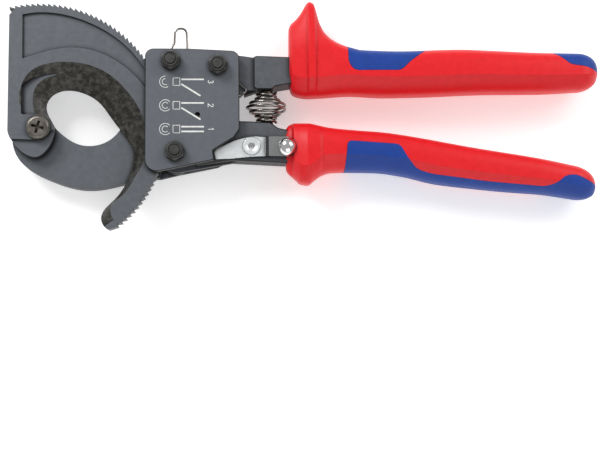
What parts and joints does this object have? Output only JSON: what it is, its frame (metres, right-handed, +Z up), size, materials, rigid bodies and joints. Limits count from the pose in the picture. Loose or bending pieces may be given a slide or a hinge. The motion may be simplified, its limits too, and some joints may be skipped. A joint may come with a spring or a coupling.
{
  "type": "ratchet cable cutter",
  "caption": "Hand ratchet cable cutter: a toothed hook blade closes on a crescent blade as the spring-loaded handle is pumped; pawls in the plated housing drive and hold it.",
  "frame": {"origin": "centre of the tool's outline, on the surface that it lies on", "axes": "+X from the blades to the grip ends, +Y from the moving handle to the fixed handle, +Z up through the plates to the nuts"},
  "size_m": [0.2497, 0.0978, 0.0255],
  "materials": {
    "plate_steel": "satin",
    "blade_steel": "satin",
    "forged_steel": "satin",
    "fastener_steel": "satin",
    "insert_plastic": "matte",
    "bright_steel": "satin",
    "spring_steel": "satin",
    "plated_steel": "satin",
    "chrome": "polished",
    "grip_red": "satin",
    "grip_blue": "matte"
  },
  "bodies": {
    "frame_body": {"front_plate": "plate_steel", "rear_plate": "plate_steel", "fixed_blade": "blade_steel", "housing_bolts": "fastener_steel", "lock_nuts": "fastener_steel", "nut_inserts": "insert_plastic", "spacer_sleeves": "bright_steel", "bolt_shims": "bright_steel", "blade_pivot_screw": "bright_steel", "blade_pivot_bush": "bright_steel", "blade_pivot_nut": "fastener_steel", "fixed_handle_bar": "forged_steel", "handle_dowel": "bright_steel", "upper_spring_peg": "bright_steel", "fixed_grip": "grip_red", "fixed_grip_thumb_pad": "grip_blue", "fixed_grip_end_pad": "grip_blue", "hinge_bush": "bright_steel", "holding_pawl_pin": "bright_steel", "pawl_spring": "spring_steel", "return_spring": "spring_steel"},
    "blade_body": {"moving_blade": "blade_steel"},
    "handle_body": {"moving_handle_arm": "forged_steel", "lower_spring_peg": "bright_steel", "moving_grip": "grip_red", "moving_grip_pad": "grip_blue", "drive_pawl_pin": "bright_steel", "lever_washer": "spring_steel", "lever_rivet": "plated_steel"},
    "drive_pawl_body": {"drive_pawl": "bright_steel"},
    "holding_pawl_body": {"holding_pawl": "bright_steel", "release_wire": "spring_steel"},
    "lever_body": {"lock_lever": "plated_steel", "lock_knob": "chrome"}
  },
  "joints": [
    {"name": "blade_swing", "type": "hinge", "parent": "frame_body", "child": "blade_body", "pos_m": [-0.1116, -0.0065, 0.0141], "axis": [0, 0, 1], "range_deg": [-70, 95]},
    {"name": "handle_squeeze", "type": "hinge", "parent": "frame_body", "child": "handle_body", "pos_m": [-0.055, -0.0172, 0.0096], "axis": [0, 0, 1], "range_deg": [-28, 9.5], "stiffness_Nm_per_rad": 0.6, "deforming": ["return_spring"]},
    {"name": "drive_pawl_swing", "type": "hinge", "parent": "handle_body", "child": "drive_pawl_body", "pos_m": [-0.0457, -0.0015, 0.0132], "axis": [0, 0, 1], "range_deg": [-15, 6]},
    {"name": "holding_pawl_release", "type": "hinge", "parent": "frame_body", "child": "holding_pawl_body", "pos_m": [-0.05, 0.0145, 0.0132], "axis": [0, 0, 1], "range_deg": [-2.5, 10], "stiffness_Nm_per_rad": 0.02},
    {"name": "lock_lever_swing", "type": "hinge", "parent": "handle_body", "child": "lever_body", "pos_m": [-0.0233, -0.0142, 0.0164], "axis": [0, 0, 1], "range_deg": [-8, 8]}
  ],
  "couplings": [
    {"joint": "drive_pawl_swing", "follows": "handle_squeeze", "ratio": 0.5}
  ]
}
